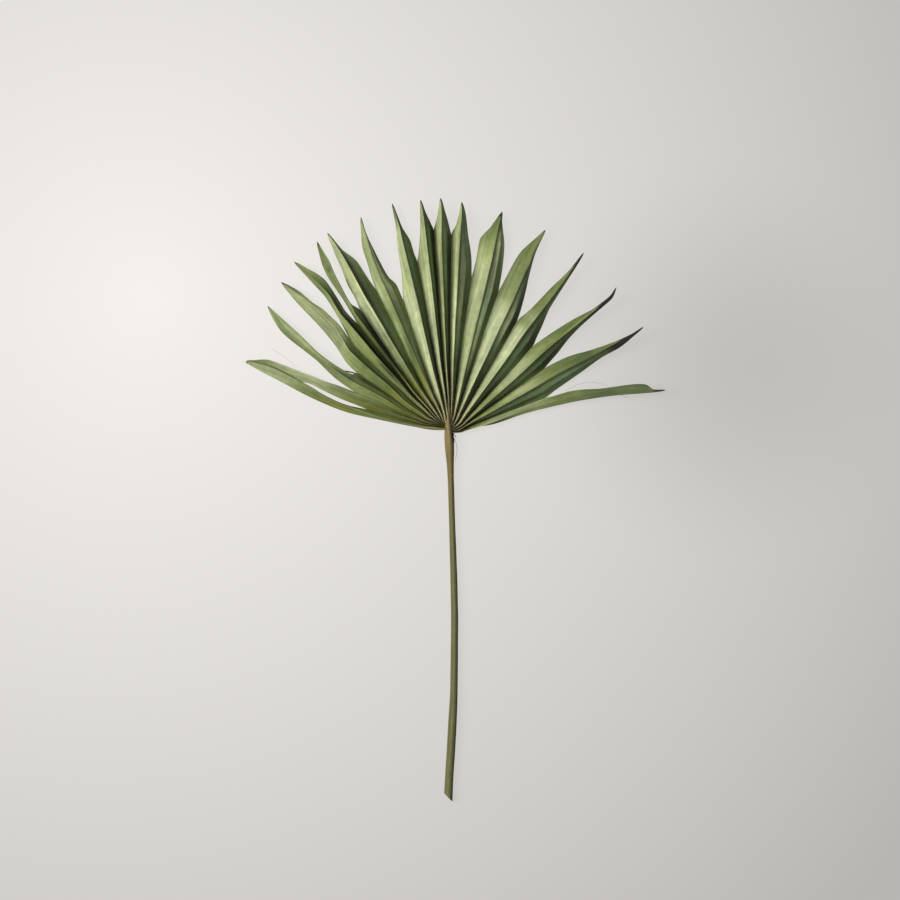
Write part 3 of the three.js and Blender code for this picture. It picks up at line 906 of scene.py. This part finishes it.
def fibre(start, over, end, radius):
    """The points of a bent thread (a quadratic curve) and its faces, with closed ends."""
    start, over, end = (np.array(p)[None, :] for p in (start, over, end))
    t = np.linspace(0, 1, FIBRE_STEPS)[:, None]
    path = (1 - t) ** 2 * start + 2 * t * (1 - t) * over + t ** 2 * end
    along = np.gradient(path, axis=0)
    along /= np.linalg.norm(along, axis=1, keepdims=True)
    side = np.cross(along, (0.0, 0.0, 1.0))
    side /= np.linalg.norm(side, axis=1, keepdims=True)
    up = np.cross(side, along)
    turn = np.linspace(0, 2 * math.pi, FIBRE_SIDES, endpoint=False)[None, :, None]
    thick = radius * np.sqrt(np.clip(1 - t ** 4, 0.15, 1))[:, None]
    rings = path[:, None] + thick * (np.cos(turn) * side[:, None] + np.sin(turn) * up[:, None])
    last = (FIBRE_STEPS - 1) * FIBRE_SIDES
    ends = [list(range(FIBRE_SIDES))[::-1], [last + k for k in range(FIBRE_SIDES)]]
    return rings.reshape(-1, 3), tube_faces(FIBRE_STEPS, FIBRE_SIDES) + ends


def make_fibres(material):
    for number, (start, over, end, radius, tone) in enumerate(FIBRES):
        points, faces = fibre(start, over, end, radius * MM)
        piece = mesh_object(f"leaf_fibre_{number + 1}", points, faces)
        paint(piece, points, np.repeat(tone[None, :], len(points), axis=0))
        attach(piece, material, None)


# Stage ------------------------------------------------------------------------------------

FLOOR_BASE = (0.10, 0.097, 0.093, 1)
FLOOR_TONE = (0.80, 0.775, 0.745, 1)
FLOOR_ROUGHNESS = 0.9
FLOOR_SIZE = 6.0                 # from the middle of the floor to its edges

# The floor's glow, a painted pool of light, falls away from the first place, and is weaker around
# the second, where it is a painted shadow. The fades are: distance from, distance to, value from,
# value to.
GLOW_CENTRE = (-0.33, 0.22, 0.0)
GLOW_FADE = (0.0, 1.0, 1.0, 0.50)
SHADE_CENTRE = (0.29, 0.15, 0.0)
SHADE_FADE = (0.00, 0.24, 0.82, 1.0)

# Lights: name, place, target, size, power and colour.
LIGHTS = (
    ("key", (-3.2, 0.6, 2.2), (0.0, 0.12, 0.0), 1.8, 138, (1.0, 0.985, 0.95)),
    ("fill", (-0.5, 0.3, 3.4), (0.0, 0.05, 0.0), 3.0, 30, (0.96, 0.98, 1.0)),
)
SKY_TONE = (0.93, 0.96, 1.0, 1)
SKY_STRENGTH = 0.19

LENS = 100.0
SENSOR = 36.0
VIEW_CENTRE = (-0.0054, 0.0538)
VIEW_WIDTH = 0.9717              # at the leaf
VIEW_END = 50


def distance_fade(tree, place, centre, fade, curve):
    """A value that changes with the distance from a place on the floor."""
    away = tree.nodes.new("ShaderNodeVectorMath")
    away.operation = "DISTANCE"
    away.inputs[1].default_value = centre
    tree.links.new(place, away.inputs[0])
    value = remap(tree, away.outputs["Value"], *fade)
    value.node.interpolation_type = curve
    return value


def make_floor():
    """A pale matt surface that glows a little, so that shadows on it stay faint, with a painted
    pool of light and a painted shadow.
    """
    material, tree, shader = new_material("floor")
    shader.inputs["Base Color"].default_value = FLOOR_BASE
    shader.inputs["Roughness"].default_value = FLOOR_ROUGHNESS
    shader.inputs["Emission Color"].default_value = FLOOR_TONE
    place = tree.nodes.new("ShaderNodeTexCoord").outputs["Object"]
    fade = distance_fade(tree, place, GLOW_CENTRE, GLOW_FADE, "LINEAR")
    shade = distance_fade(tree, place, SHADE_CENTRE, SHADE_FADE, "SMOOTHSTEP")
    glow = combine(tree, "MULTIPLY", fade, shade)
    tree.links.new(glow, shader.inputs["Emission Strength"])
    size = FLOOR_SIZE
    corners = [(-size, -size, 0), (size, -size, 0), (size, size, 0), (-size, size, 0)]
    floor = mesh_object("floor", corners, [(0, 1, 2, 3)], smooth=False)
    floor.data.materials.append(material)


def area_light(name, place, target, size, power, colour):
    data = bpy.data.lights.new(name, "AREA")
    data.shape = "SQUARE"
    data.size = size
    data.energy = power
    data.color = colour
    light = bpy.data.objects.new(name, data)
    light.location = place
    light.rotation_euler = (Vector(target) - Vector(place)).to_track_quat("-Z", "Y").to_euler()
    bpy.context.scene.collection.objects.link(light)


def make_lights():
    for light in LIGHTS:
        area_light(*light)
    world = bpy.data.worlds.new("world")
    world.use_nodes = True
    background = world.node_tree.nodes["Background"]
    background.inputs["Color"].default_value = SKY_TONE
    background.inputs["Strength"].default_value = SKY_STRENGTH
    bpy.context.scene.world = world


def make_camera():
    """Straight above the leaf, so that it is seen as if it hung upright in front of a wall."""
    data = bpy.data.cameras.new("camera")
    data.lens = LENS
    data.sensor_width = SENSOR
    data.clip_end = VIEW_END
    camera = bpy.data.objects.new("camera", data)
    camera.location = (*VIEW_CENTRE, VIEW_WIDTH * LENS / SENSOR)
    bpy.context.scene.collection.objects.link(camera)
    bpy.context.scene.camera = camera


# Assembly ---------------------------------------------------------------------------------

make_camera()
make_lights()
make_floor()
bpy.context.scene.view_settings.view_transform = "Standard"

blade = blade_material()
for number in range(SEGMENTS):
    make_segment(number, blade)
stalk = stalk_material()
make_stalk(stalk)
make_fibres(stalk)
